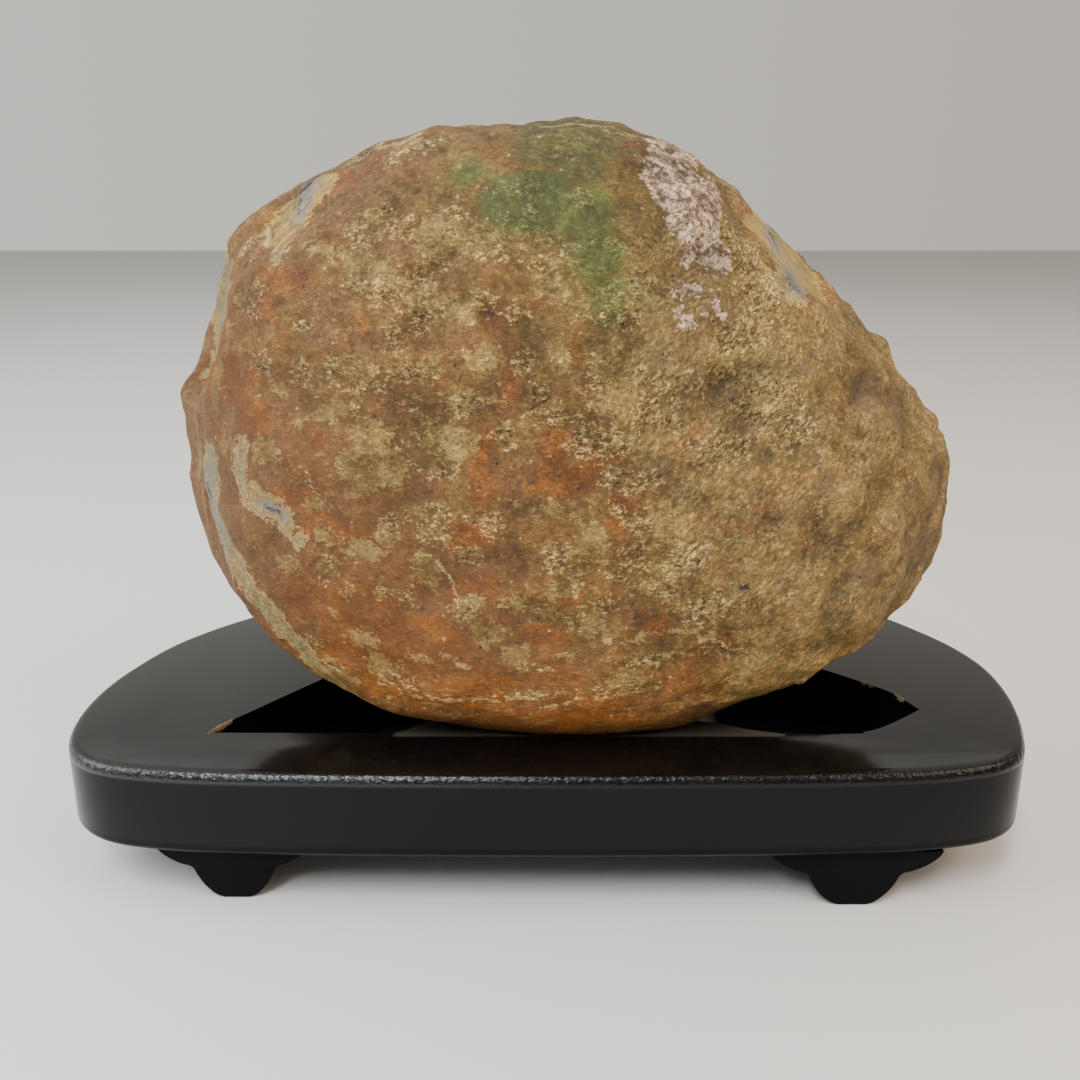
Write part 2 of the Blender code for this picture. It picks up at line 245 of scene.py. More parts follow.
    def bump(self, height, strength, distance):
        """Bump whose height is in units of distance millimetres."""
        made = self.node("ShaderNodeBump", {"Height": height, "Strength": strength,
                                            "Distance": distance * MM})
        return made.outputs["Normal"]

    def surface(self, color, roughness, normal=None, **fixed):
        """Wire the shader; fixed values go straight onto its sockets."""
        self.put(self.shader.inputs["Base Color"], color)
        self.put(self.shader.inputs["Roughness"], roughness)
        if normal is not None:
            self.put(self.shader.inputs["Normal"], normal)
        for name, value in fixed.items():
            self.shader.inputs[name.replace("_", " ")].default_value = value
        return self.material


# --- stone finish ----------------------------------------------------------------------------------

BROWN = (0.170, 0.079, 0.019)
RED_BROWN = (0.150, 0.059, 0.016)
RUST = (0.148, 0.047, 0.0085)
ORANGE_RUST = (0.205, 0.064, 0.0075)
MAUVE = (0.154, 0.066, 0.022)
KHAKI = (0.182, 0.112, 0.026)
PALE_OLIVE = (0.255, 0.165, 0.046)
OLIVE = (0.122, 0.080, 0.017)
TAN = (0.225, 0.131, 0.037)
GREY_TAN = (0.178, 0.110, 0.038)
DULL_TAN = (0.136, 0.088, 0.038)
CREAM = (0.600, 0.430, 0.165)
UMBER = (0.036, 0.018, 0.006)
GREEN = (0.060, 0.084, 0.017)
DEEP_GREEN = (0.038, 0.050, 0.010)
PALE_GREEN = (0.300, 0.320, 0.130)
LAVENDER = (0.610, 0.430, 0.310)
LAVENDER_SHADE_AND_GRAIN = (0.150, 0.090, 0.048)
HONEY = (0.380, 0.240, 0.038)
PALE_GREY = (0.145, 0.138, 0.074)
BLUE_GREY = (0.130, 0.145, 0.165)
VEIN = (0.014, 0.014, 0.026)


def laid(s, factor, amount, under, over):
    """One colour laid over another where a mask says, at most by an amount."""
    return s.mix(s.times(factor, amount), under, over)


def stone_finish():
    """Weathered rind: smooth rust and mauve skin, khaki patches, gritty cream, coarse tan end; painted
    light and shade over its relief.
    """
    s = Shading("stone_rind_finish")
    p = s.place()
    tan_end, khaki, rust = s.channels(s.painted("ground"))
    grit, mauve, crumbs = s.channels(s.painted("marks"))
    stain, green_core, green_top = s.channels(s.painted("stain"))
    seam, blue, window = s.channels(s.painted("seam"))
    left_edge, underside, crust = s.channels(s.painted("edge"))
    light, warm, olive = s.channels(s.painted("drift"))
    calm, dull = s.painted("drift", "Alpha"), s.painted("marks", "Alpha")
    relief_shade = s.painted("relief_shade", "Fac")

    # Two fine noises shape every outline; the strokes lie level, and slant on the tan end.
    rag = s.noise(p, 2.6, 4.0, 0.68)
    slant = s.node("ShaderNodeMapping", {"Vector": p, "Rotation": (0.0, math.radians(-42.0), 0.0),
                                         "Scale": (1.3, 0.75, 0.75)}, vector_type="TEXTURE")
    run = s.between(s.math("GREATER_THAN", tan_end, 0.5),
                    s.vector("MULTIPLY", p, (0.95, 1.10, 1.45)), slant.outputs[0], vectors=True)
    stroke = s.noise(run, 1.0, 3.0, 0.78, 0.8)
    push = s.scaled(stroke, 0.9, s.scaled(rag, 1.4, -1.15))

    def ragged(field, low=0.45, high=0.55):
        """A painted field cut off along a ragged outline."""
        return s.step(s.math("ADD", field, push), low, high)

    # Skins of the left and middle, khaki patches over them, and the tan end.
    rusty, khaki_patch = ragged(rust), ragged(khaki)
    skin = s.mix(calm, BROWN, RED_BROWN)
    color = s.mix(ragged(tan_end, 0.3, 0.7), skin, s.mix(s.step(warm, 0.4, 0.6), TAN, GREY_TAN))
    color = laid(s, ragged(olive, 0.5, 0.7), s.scaled(calm, -0.25, 0.40), color, OLIVE)
    color = laid(s, ragged(mauve), s.scaled(tan_end, -0.40, 0.80), color, MAUVE)
    color = laid(s, rusty, s.scaled(tan_end, -0.45, 0.90), color,
                 s.mix(s.step(warm, 0.44, 0.68), RUST, ORANGE_RUST))
    color = laid(s, khaki_patch, s.scaled(calm, -0.20, 0.80), color,
                 s.mix(s.step(light, 0.4, 0.6), KHAKI, PALE_OLIVE))
    # Dull grey-tan in the dimples of the tan end, laid darker as painted shade in them.
    dull_patch = ragged(dull)
    color = laid(s, dull_patch, 0.80, color, DULL_TAN)

    # Upright streaks on the left edge and level ones underneath.
    stretch = s.between(underside, (1.0, 1.0, 0.22), (0.24, 0.5, 1.4), vectors=True)
    streak = s.noise(s.vector("MULTIPLY", p, stretch), 2.7, 3.0, 0.6)
    streaky = s.most(left_edge, underside)
    color = laid(s, s.times(s.step(streak, 0.54, 0.64), streaky), 0.50, color, PALE_OLIVE)

    # Green stain over the top of the front.
    color = laid(s, stain, 0.70, color, OLIVE)
    greened = ragged(green_core, 0.2, 0.9)
    color = laid(s, greened, 0.85, color, GREEN)
    color = laid(s, ragged(green_top, 0.2, 0.9), 0.75, color, DEEP_GREEN)

    # Pale seams inside a cream rim.
    polished = ragged(seam)
    pale = s.mix(s.step(olive, 0.3, 0.7), PALE_GREY, PALE_OLIVE)
    color = laid(s, ragged(seam, 0.32, 0.40), 0.45, color, CREAM)
    color = laid(s, polished, 0.80, color, pale)
    yellower = s.step(s.scaled(rag, 0.5, light), 0.70, 0.84)
    color = laid(s, s.times(polished, yellower), 0.60, color, KHAKI)

    # Cream grit in clusters: pale flecks, partly cream grit and partly painted highlight on the crumbs,
    # with dark gaps of painted shade between them.
    windowed = ragged(window, 0.4, 0.6)
    gritty = s.most(s.scaled(tan_end, 0.22, 0.13), s.times(khaki_patch, 0.38))
    gritty = s.most(s.times(polished, 0.5), gritty)
    gritty = s.most(ragged(grit), gritty)
    gritty = s.less(gritty, windowed, 0.9)
    gritty = s.less(gritty, dull_patch, 0.7)
    gritty = s.less(gritty, greened, 0.4)
    fleck = s.times(s.step(stroke, 0.53, 0.61), gritty)
    gap_shade = s.times(s.step(stroke, 0.38, 0.46, 1.0, 0.0), gritty)
    color = laid(s, gritty, 0.10, color, CREAM)
    color = laid(s, fleck, 0.75, color, s.mix(ragged(crumbs), CREAM, PALE_GREEN))
    color = laid(s, gap_shade, 0.80, color, UMBER)
    color = laid(s, ragged(s.painted("edge", "Alpha"), 0.5, 0.7), 0.40, color, CREAM)

    # Single dark pits and pale flecks.
    cell = s.node("ShaderNodeTexVoronoi", {"Vector": p, "Scale": 1.0 / 2.0})
    dot = s.step(s.scaled(stroke, -0.45, cell.outputs["Distance"]), -0.16, -0.02, 1.0, 0.0)
    kind = s.channels(cell.outputs["Color"])[0]
    color = laid(s, s.times(dot, s.step(kind, 0.66, 0.70)), 0.60, color, UMBER)
    color = laid(s, s.times(dot, s.step(kind, 0.92, 0.93)), 0.80, color, VEIN)
    color = laid(s, s.times(dot, s.step(kind, 0.22, 0.26, 1.0, 0.0)), 0.55, color, CREAM)

    # Polished windows, honey and pale grey inside an orange rim; blue beside the cracks.
    color = laid(s, s.step(window, 0.02, 0.30), s.step(rag, 0.48, 0.60), color, ORANGE_RUST)
    paler = s.most(s.step(streak, 0.54, 0.64), s.times(left_edge, 0.7))
    color = laid(s, windowed, s.step(rag, 0.38, 0.52, 0.45, 0.85), color, s.mix(paler, HONEY, pale))
    color = laid(s, ragged(blue, 0.3, 0.7), s.step(rag, 0.42, 0.58, 0.85, 0.35), color, BLUE_GREY)
    wobble = s.node("ShaderNodeCombineXYZ", {0: s.times(push, 2.0), 2: s.scaled(stroke, 3.0, -1.5)})
    flat = s.vector("MULTIPLY", p, (1.0, 0.0, 1.0))
    flat = s.vector("ADD", flat, wobble.outputs[0])
    in_front = s.step(s.node("ShaderNodeSeparateXYZ", {0: p}).outputs["Y"], -14.0, -10.0, 1.0, 0.0)
    for x1, z1, x2, z2, width, tint in CRACKS:
        crack = s.along(flat, (x1, 0.0, z1), (x2, 0.0, z2), 0.15 * width, 0.5 * width)
        color = laid(s, s.times(crack, in_front), 0.9, color, tint)
    polished = s.most(windowed, s.times(polished, 0.7))

    # Lavender crust, ragged at its edge and broken by the grain under it; darker brown where the grain
    # sinks, partly its brown grains and partly painted shade.
    crusted = s.times(ragged(crust), s.step(stroke, 0.37, 0.42))
    grain = s.scaled(rag, 0.8, s.scaled(stroke, 0.7, -0.25))
    color = laid(s, crusted, 0.92, color, s.mix(s.step(grain, 0.42, 0.64), LAVENDER_SHADE_AND_GRAIN, LAVENDER))

    # Painted light and shade of the relief: lighter on its high points and painted shade in its hollows,
    # gentler where the skin is calm.
    swing = s.scaled(tan_end, -0.14, s.scaled(rusty, -0.12, 0.38))
    tone = s.step(rag, 0.30, 0.70, s.math("SUBTRACT", 1.0, swing), s.math("ADD", 1.0, swing))
    tone = s.times(tone, s.step(stroke, 0.30, 0.70, 0.68, 1.34))
    tone = s.times(tone, s.step(light, 0.30, 0.70, 0.88, 1.12))
    # painted shade where the relief is low, painted light where it is high
    tone = s.times(tone, s.step(relief_shade, 0.15, 0.75, s.scaled(tan_end, -0.04, 0.68), 1.10))
    tone = s.between(s.times(calm, 0.5), tone, 1.0)
    # The underside painted lighter: a painted light from below.
    tone = s.times(tone, s.scaled(underside, 0.62, 1.0))
    color = s.mix(1.0, color, s.grey(tone), "MULTIPLY")

    # Relief too fine for the mesh, calmer on smooth skin and on what is polished.
    relief = s.scaled(rag, 2.0, s.times(stroke, 0.90))
    depth = s.scaled(gritty, 0.55, 0.45)
    depth = s.less(depth, rusty, 0.35)
    depth = s.less(depth, polished, 0.85)
    normal = s.bump(relief, depth, 1.0)
    roughness = s.scaled(polished, -0.30, s.step(stroke, 0.35, 0.65, 0.60, 0.74))
    return s.surface(color, roughness, normal, Specular_IOR_Level=0.35)


# --- lacquer finish --------------------------------------------------------------------------------

DEEP_BLACK = (0.0018, 0.0018, 0.0021)
SOFT_BLACK = (0.0036, 0.0035, 0.0034)
BLUISH_SHEEN_BLACK = (0.0040, 0.0045, 0.0060)
SEAT_GREY = (0.052, 0.045, 0.037)
DARK_WOOD = (0.11, 0.060, 0.028)
PALE_WOOD = (0.34, 0.220, 0.120)

# Chips on the recess's rim: distance right of the middle and behind the front edge, turn in
# degrees, half lengths.
CHIPS = [
    (-78.5, 23.6, 61.0, (4.4, 0.65, 1.4)), (79.8, 46.6, -50.0, (3.2, 0.6, 1.2)),
    (85.4, 39.3, -66.0, (2.0, 0.5, 1.2)),
]


def lacquer_finish():
    """Black lacquer: glossy top, slightly uneven; satin upright face with a painted bluish sheen; dull
    seat; bare chips.
    """
    s = Shading("black_lacquer_finish")
    p = s.place()
    across, inward, up = s.node("ShaderNodeSeparateXYZ", {0: p}).outputs
    below_top = s.math("SUBTRACT", SLAB_TOP, up)

    tone = s.noise(p, 40.0, 3.0)
    color = s.mix(tone, DEEP_BLACK, SOFT_BLACK)
    # Upright faces a little lighter and bluer: a painted bluish reflection.
    upright = s.step(below_top, 0.4, 2.8)
    color = s.mix(s.times(upright, s.step(tone, 0.3, 0.7, 0.6, 0.9)), color, BLUISH_SHEEN_BLACK)

    # Carved seat in front, duller and a lighter grey.
    left, right, start = FRONT_SEAT[:3]
    half = (right - left) / 2
    from_middle = s.math("ABSOLUTE", s.math("SUBTRACT", across, (left + right) / 2))
    between_ends = s.step(from_middle, half + 0.25, half + 0.85, 1.0, 0.0)
    in_front = s.times(s.step(inward, FRONT + start - 0.5, FRONT + start + 0.8),
                       s.step(inward, -14.0, -10.0, 1.0, 0.0))
    carved = s.times(s.step(below_top, 0.05, 0.5), s.step(below_top, 6.5, 8.0, 1.0, 0.0))
    seat = s.times(s.times(in_front, between_ends), carved)
    color = s.mix(seat, color, SEAT_GREY)

    # Bare wood where the lacquer is chipped along the recess's rim, near its points.
    chipped = s.warp(p, 1.3, 0.6, 3.0)
    chips = 0.0
    for x, y, turn, reach in CHIPS:
        chips = s.most(chips, s.sliver(chipped, (x, FRONT + y, SLAB_TOP), math.radians(turn), reach))
    color = s.mix(chips, color, s.mix(s.noise(p, 0.9, 3.0), DARK_WOOD, PALE_WOOD))

    # Gloss and the skin of the lacquer: a slight orange peel, beaded along the rounded edge.
    rounded = s.times(s.step(below_top, 0.05, 0.6), s.step(below_top, 2.0, 3.0, 1.0, 0.0))
    roughness = s.step(s.noise(p, 18.0, 4.0, 0.6), 0.35, 0.70, 0.10, 0.20)
    for where, more in ((upright, 0.06), (seat, 0.30), (chips, 0.5), (rounded, 0.09)):
        roughness = s.scaled(where, more, roughness)
    beads = s.times(s.noise(p, 1.1, 2.0), rounded)
    height = s.scaled(s.noise(p, 3.0, 2.0), 0.10, s.times(beads, 1.9))
    normal = s.bump(height, 0.6, 0.30)
    shine = s.between(rounded, s.step(below_top, 2.2, 3.2, 0.60, 0.28),
                      s.step(across, -40.0, 10.0, 0.95, 0.42))
    shine = s.times(shine, s.step(below_top, 17.0, 19.5, 1.0, 0.3))
    shine = s.times(shine, s.step(across, -95.0, -35.0, 1.0, 0.8))
    s.put(s.shader.inputs["Specular IOR Level"], shine)
    return s.surface(color, roughness, normal, IOR=1.4)


COOL_WHITE = (0.800, 0.800, 0.795)
WARM_WHITE = (0.720, 0.670, 0.630)
MID_GREY = (0.5, 0.5, 0.5)


def floor_finish():
    """Plain pale table top with painted light: paler and cooler on the left, darker and warmer on the
    right.
    """
    s = Shading("pale_floor")
    p = s.place()
    across = s.step(s.node("ShaderNodeSeparateXYZ", {0: p}).outputs["X"], -160.0, 220.0)
    # Painted light: the table cooler and brighter on the left, warmer and darker on the right.
    color = s.mix(across, COOL_WHITE, WARM_WHITE)
    color = s.mix(s.noise(p, 120.0, 2.0), color, s.mix(0.04, color, MID_GREY))
    return s.surface(color, 0.55)


# --- modelling helpers -----------------------------------------------------------------------------

def deselect_all():
    """Nothing selected and nothing active."""
    if bpy.context.object and bpy.context.object.mode != "OBJECT":
        bpy.ops.object.mode_set(mode="OBJECT")
    bpy.ops.object.select_all(action="DESELECT")


def activate(obj):
    """Select one object alone and make it active."""
    deselect_all()
    obj.select_set(True)
    bpy.context.view_layer.objects.active = obj


def apply_modifiers(obj):
    """Bake every modifier of an object into its mesh."""
    activate(obj)
    for modifier in list(obj.modifiers):
        bpy.ops.object.modifier_apply(modifier=modifier.name)


def smooth_segment(before, start, end, after, steps):
    """Catmull-Rom points from start up to, but not including, end."""
    points = []
    for step in range(steps):
        t = step / steps
        points.append(tuple(
            0.5 * (2 * p1 + (p2 - p0) * t + (2 * p0 - 5 * p1 + 4 * p2 - p3) * t * t
                   + (3 * p1 - p0 - 3 * p2 + p3) * t ** 3)
            for p0, p1, p2, p3 in zip(before, start, end, after)))
    return points


def smooth_line(points, steps, closed=False):
    """Smooth line through the points; an open one leaves out its last point."""
    count = len(points)
    line = []
    for i in range(count if closed else count - 1):
        around = [points[(i + k) % count] if closed else points[min(max(i + k, 0), count - 1)]
                  for k in (-1, 0, 1, 2)]
        line += smooth_segment(*around, steps)
    return line


def from_front(points):
    """Turn distances behind the front edge into the frame's Y."""
    return [(x, y + FRONT) for x, y in points]


def face_outwards(obj):
    """Turn every face of a closed object outwards."""
    activate(obj)
    bpy.ops.object.mode_set(mode="EDIT")
    bpy.ops.mesh.select_all(action="SELECT")
    bpy.ops.mesh.normals_make_consistent(inside=False)
    bpy.ops.object.mode_set(mode="OBJECT")


def plate(name, outline, bottom, top):
    """Flat-sided solid over an outline: a filled circle drawn out to the outline, then extruded."""
    deselect_all()
    bpy.ops.mesh.primitive_circle_add(vertices=len(outline), fill_type="NGON")
    obj = bpy.context.active_object
    obj.name = name
    for vertex, (x, y) in zip(obj.data.vertices, outline):
        vertex.co = (x * MM, y * MM, bottom * MM)
    bpy.ops.object.mode_set(mode="EDIT")
    bpy.ops.mesh.select_all(action="SELECT")
    bpy.ops.mesh.extrude_region_move(TRANSFORM_OT_translate={"value": (0, 0, (top - bottom) * MM)})
    face_outwards(obj)
    return obj


def bevel(obj, width, segments, angle=40.0):
    """Round the sharp edges of an object."""
    modifier = obj.modifiers.new("bevel", "BEVEL")
    modifier.width = width * MM
    modifier.segments = segments
    modifier.limit_method = "ANGLE"
    modifier.angle_limit = math.radians(angle)
    modifier.use_clamp_overlap = True
    apply_modifiers(obj)


def subtract(obj, cutter):
    """Cut one object out of another and delete the cutter."""
    modifier = obj.modifiers.new("cut", "BOOLEAN")
    modifier.operation = "DIFFERENCE"
    modifier.solver = "EXACT"
    modifier.object = cutter
    apply_modifiers(obj)
    bpy.data.objects.remove(cutter, do_unlink=True)


def shade(obj, angle):
    """Smooth shading with sharp edges kept."""
    activate(obj)
    bpy.ops.object.shade_smooth_by_angle(angle=math.radians(angle))


# --- stand -----------------------------------------------------------------------------------------

def seat_block(left, right, start, slope, side):
    """Block whose underside is a seat's slope."""
    length, height = 60.0, 30.0
    deselect_all()
    bpy.ops.mesh.primitive_cube_add(size=1.0)
    block = bpy.context.active_object
    for vertex in block.data.vertices:
        x = left if vertex.co.x < 0 else right
        y = vertex.co.y * length
        z = height if vertex.co.z > 0 else 0.0
        turned_y = y * math.cos(slope) + side * z * math.sin(slope)
        turned_z = z * math.cos(slope) - side * y * math.sin(slope)
        vertex.co = (x * MM, (turned_y + FRONT + start) * MM, (turned_z + SLAB_TOP) * MM)
    return block


def make_stand_top(finish):
    """The plank: round edges, blind recess, tongue and seats, crisp carved rim."""
    slab = plate("lacquered_plank", smooth_line(from_front(SLAB_OUTLINE), 14, closed=True),
                 FOOT_HEIGHT, SLAB_TOP)
    bevel(slab, SLAB_EDGE_RADIUS, 8)
    front_edge = smooth_line(from_front([RECESS_LEFT_TIP, *RECESS_FRONT_EDGE, RECESS_RIGHT_TIP]), 8)
    back_edge = smooth_line(from_front([RECESS_RIGHT_TIP, *RECESS_BACK_EDGE, RECESS_LEFT_TIP]), 8)
    recess = plate("recess", front_edge + back_edge, RECESS_FLOOR, SLAB_TOP + CUT_MARGIN)
    tongue = plate("tongue", smooth_line(from_front(TONGUE_OUTLINE), 8, closed=True),
                   RECESS_FLOOR - CUT_MARGIN, SLAB_TOP + 2 * CUT_MARGIN)
    subtract(recess, tongue)
    subtract(slab, recess)
    for seat in (FRONT_SEAT, BACK_SEAT):
        subtract(slab, seat_block(*seat))
    shade(slab, 30.0)
    slab.data.materials.append(finish)
    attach(slab, "root")
    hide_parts("stand_top")
    return slab


def make_foot(node, finish):
    """Scalloped foot with softened arrises."""
    middle, inset, scale = FEET[node]
    right_side = smooth_line([(x * scale, -z) for x, z in FOOT_PROFILE], 6)
    right_side.append((FOOT_PROFILE[-1][0] * scale, -FOOT_PROFILE[-1][1]))
    left_side = [(-x, z) for x, z in reversed(right_side)]
    foot = plate(node + "_scalloped", right_side + left_side, 0.0, FOOT_THICKNESS)
    top = FOOT_HEIGHT - GAP
    for vertex in foot.data.vertices:
        x, z, depth = vertex.co / MM
        vertex.co = Vector((x + middle, FRONT + inset + depth, top + z * top / FOOT_HEIGHT)) * MM
    face_outwards(foot)
    bevel(foot, FOOT_EDGE_RADIUS, 3, 60.0)
    shade(foot, 40.0)
    foot.data.materials.append(finish)
    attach(foot, "root")
    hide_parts(node)
    return foot


# --- stone -----------------------------------------------------------------------------------------

STONE_MIDDLE = Vector((3.0, -10.0, 96.0))
SEAT_CLEAR = (37.0, 46.0)        # relief fades in between these heights, clear of the seats

# Flat polished cuts: the way each looks, its distance from the stone's middle, its own middle, radius.
WINDOWS = [
    (Vector((-0.93, -0.28, 0.24)).normalized(), 82.8, Vector((-80.0, -16.0, 31.0)), 18.0),
    (Vector((-0.60, -0.36, 0.72)).normalized(), 79.8, Vector((-57.0, -20.0, 55.0)), 15.0),
    (Vector((0.66, -0.30, 0.69)).normalized(), 66.3, Vector((46.0, -18.0, 46.0)), 15.0),
]

# Knobs and dimples on the surface: X, Y, Z, radius, height.
KNOBS = [
    (68.0, -22.0, 134.0, 3.6, 1.4), (60.0, -24.0, 137.5, 3.0, 1.0), (76.0, -24.0, 122.0, 3.4, 0.8),
    (84.0, -20.0, 108.0, 4.0, 0.8), (90.0, -16.0, 96.0, 4.2, 0.8), (31.4, -56.8, 116.3, 3.6, -1.6),
    (36.0, -55.0, 109.5, 2.4, -1.0), (53.8, -48.0, 97.0, 2.8, -1.3),
    (65.0, -42.0, 115.8, 3.4, -1.1), (71.7, -38.0, 110.3, 3.2, -1.0),
    (61.3, -40.0, 123.3, 2.6, -0.8), (44.9, -50.0, 124.6, 2.2, -0.8),
    (-64.5, -34.0, 143.0, 2.2, 0.9), (-75.0, -30.0, 118.5, 3.0, 0.8),
    (16.0, -59.0, 109.0, 2.6, -0.9), (-14.0, -57.5, 131.5, 1.6, -0.9),
    (-28.0, -54.0, 138.4, 2.2, -0.8), (-31.0, -55.0, 119.0, 2.4, -0.7),
]

# Patches on the front: distance right of the middle, height, half width, half height.
TAN_EDGE = ([51.0, 82.0, 115.0, 141.0, 165.0], [38.0, 27.0, 12.0, 18.0, 26.0])    # heights, X there
RUST_SKIN = [
    (-54, 138, 5.7, 2.4), (-59, 132, 2.7, 3.3), (-45, 156, 3.9, 1.9), (-36.5, 159.5, 3.9, 2.5),
    (-29.5, 158.5, 2.9, 1.8), (-14, 160.5, 1.4, 1.6), (-11.5, 139.5, 4.6, 2.7),
    (-11.5, 131.5, 2.3, 4.8), (-11, 124.5, 1.7, 5.3), (-11.5, 115, 1.7, 3.8),
    (-2.5, 133.5, 4.9, 1.7), (-1, 128, 2.1, 1.5), (3, 125.5, 1.7, 4.8), (-9, 118, 1.9, 3.8),
    (0, 106, 3.9, 4.9), (-14.5, 105.5, 2.1, 5.1), (-15, 98.5, 3.1, 3.6), (0.5, 98.5, 6.3, 3.1),
    (6.5, 102, 2.3, 2.5), (-18, 88, 5.2, 2.8), (-22.5, 85.5, 2.4, 1.7), (12.5, 94.5, 3, 1.8),
    (12, 90.5, 2.4, 1.4), (19.5, 87, 2.4, 1.5), (26.5, 91, 2.8, 1.7), (27, 109.5, 1.4, 5.3),
    (44.5, 99.5, 4.6, 2.3), (35.5, 88.5, 4.8, 1.2), (37.5, 62.5, 3.4, 1.9), (21, 67, 3.3, 1.9),
    (31, 59, 2.8, 1.3), (-17, 76.5, 5.7, 2.8), (2.5, 75.5, 2.9, 1.8), (-3.5, 65, 5.4, 2.9),
    (-65.5, 117, 5.5, 5.3), (-61, 110, 4.6, 3.2), (-54, 94, 5.2, 3), (-46.5, 88, 6.6, 3.2),
    (-45.5, 72, 13.6, 5.3), (-33, 63.5, 15.3, 7.4), (-25.5, 51, 17.7, 7.7), (1, 40, 20.3, 6),
    (-46, 59, 9.2, 5.8), (-55, 68.5, 3.3, 5.1), (-59.5, 138.5, 3.3, 1.6), (-11.5, 162, 5.2, 2.9),
    (15, 163, 3.3, 1.7), (57, 115, 2.6, 2.5), (29, 82.5, 2.8, 1.3), (34.5, 79.5, 2.9, 1.8),
    (20.5, 140.5, 2.7, 1.7), (9, 110, 1, 1.6), (16.5, 110.5, 1.6, 1.7), (19.5, 134, 1.9, 1.1),
    (55, 132, 8.2, 1.7), (6, 143, 1.5, 1.1), (-2.5, 160.5, 2.7, 1.6), (10, 151, 1.9, 1.1),
    (0.5, 54.5, 5.5, 2.9), (9.5, 48, 6.6, 3.5), (26.5, 53.5, 4.4, 2.7), (49.5, 86, 2.1, 2.6),
    (52, 92, 2.5, 2.1),
]
MAUVE_SKIN = [
    (-45, 132.5, 5.8, 4.8), (-36, 126, 3.9, 2.4), (-30, 142.5, 4.3, 2.4), (-44, 149, 4.3, 2.6),
    (-66.5, 147, 2.6, 2.7), (-64, 142, 2.4, 2.2), (-71.5, 112.5, 3.9, 12.4),
    (-69, 106.5, 3.3, 10.4), (-75.5, 103, 6.7, 15), (-58, 98.5, 4.1, 3), (-45.5, 104.5, 8.6, 3.5),
    (-33.5, 114, 3.4, 2.5), (-30.5, 105.5, 3.2, 2), (-27.5, 98, 4.8, 3.5), (-18, 137, 4.2, 2.2),
    (-18.5, 126, 3.4, 2.6), (-7, 99, 4.9, 4.4), (-8.5, 94, 3.6, 2.4), (-10, 82.5, 5.3, 4),
    (1.5, 117, 2.7, 1.7), (10.5, 72.5, 2.1, 1.9), (17, 69.5, 4.6, 2.8), (23.5, 49.5, 3, 2.9),
    (15, 44, 7.6, 3.7), (-55.5, 83.5, 6, 3.1), (-61, 79, 5.1, 3.3), (-30, 71.5, 4.6, 2.1),
    (32, 44, 7.2, 4.6), (31.5, 116.5, 3.2, 3.3), (54, 97, 2.6, 3.3), (65, 116, 4, 3),
    (71.5, 110.5, 4.1, 2), (36, 109, 2.1, 1.8), (45, 124.5, 1.9, 2.4), (55, 132, 4.4, 2.3),
    (61.5, 123.5, 2.8, 2.1), (67.5, 84, 3, 4.7), (76.5, 89, 3.6, 4.7), (41.5, 92, 4.6, 3),
    (36.5, 94.5, 2.9, 1.9), (-20.5, 61, 5.1, 2.9), (-6, 44, 6.6, 2.7), (10, 161.5, 2.8, 1.6),
    (0, 159.5, 2.3, 1.2), (-46.5, 125, 4.2, 2.7), (27, 128, 4, 1.5), (25, 138.5, 1.6, 1.1),
    (31.5, 130, 2.5, 1.9), (48.5, 100.5, 2.9, 2),
]
KHAKI_PATCHES = [
    (-38, 147, 4.6, 3.3), (-36, 138, 4.8, 3.1), (-23.5, 145.5, 4.6, 4.4), (-46, 143, 3.2, 1.7),
    (-17, 145.5, 6.5, 2.9), (-14, 123.5, 3.9, 2.5), (0, 123.5, 1.9, 2.9), (11, 121.5, 4.6, 6.7),
    (11.5, 114.5, 4.6, 2.7), (-21.5, 107, 5.9, 4.4), (-45, 112.5, 4.1, 1.9),
    (-36.5, 108.5, 4.1, 3.2), (-37, 101.5, 6.9, 4.8), (-60, 103.5, 3.3, 3.1), (-25, 107.5, 3.2, 2),
    (-48.5, 93, 3.3, 1.7), (-47.5, 86.5, 3, 2), (-39.5, 84, 4.2, 2.4), (-34.5, 88, 2.8, 1.9),
    (-24.5, 87.5, 3.2, 1.9), (-47, 80, 3.4, 2.4), (-56.5, 79.5, 2.4, 2.1), (-27, 80, 3.1, 3.7),
    (-19, 72.5, 3.7, 2.8), (-41, 63, 3.2, 2.4), (-37.5, 55.5, 3.2, 3.5), (-13.5, 67, 2.5, 2.6),
    (-9.5, 61.5, 2.9, 2.1), (2, 60.5, 1.9, 1.3), (-8, 73, 3.1, 1.7), (-1, 70.5, 2.5, 1.9),
    (6.5, 86.5, 3.4, 4.3), (7, 69.5, 3.1, 4.6), (-1.5, 93.5, 3.8, 1.8), (21, 90.5, 6, 4.2),
    (23, 82.5, 4.9, 4.5), (19, 76, 4.1, 2.5), (2, 137.5, 6.5, 4.4), (15.5, 143, 5.8, 4),
    (7.5, 134, 4.6, 3.2), (15.5, 134, 6.6, 4.4), (-17, 115, 5.8, 2.3), (-19, 132, 4.2, 2.9),
    (-26, 121, 3.1, 1.9), (-40.5, 120.5, 4.9, 1.9), (-3.5, 145, 3.8, 1.8), (29, 73.5, 6.3, 4.4),
    (43, 63, 6, 3.8), (-26, 133.5, 3.9, 3.7), (-39.5, 141.5, 2.5, 3.7), (-27.5, 92, 4, 2.1),
    (-40.5, 96.5, 2.5, 1.4), (-51.5, 109.5, 1.9, 1.6), (14.5, 54.5, 5.7, 2.7),
    (17.5, 58.5, 4.3, 1.8), (48, 127.5, 5.1, 2.2), (40, 136, 4.7, 4.7), (34.5, 122.5, 6, 4.2),
    (41.5, 114.5, 5.4, 5.8), (15.5, 107.5, 4.7, 2.8), (0.5, 76.5, 2.9, 1.7), (-29, 59, 2.6, 1.3),
    (-48, 51.5, 3.8, 2.2),
]
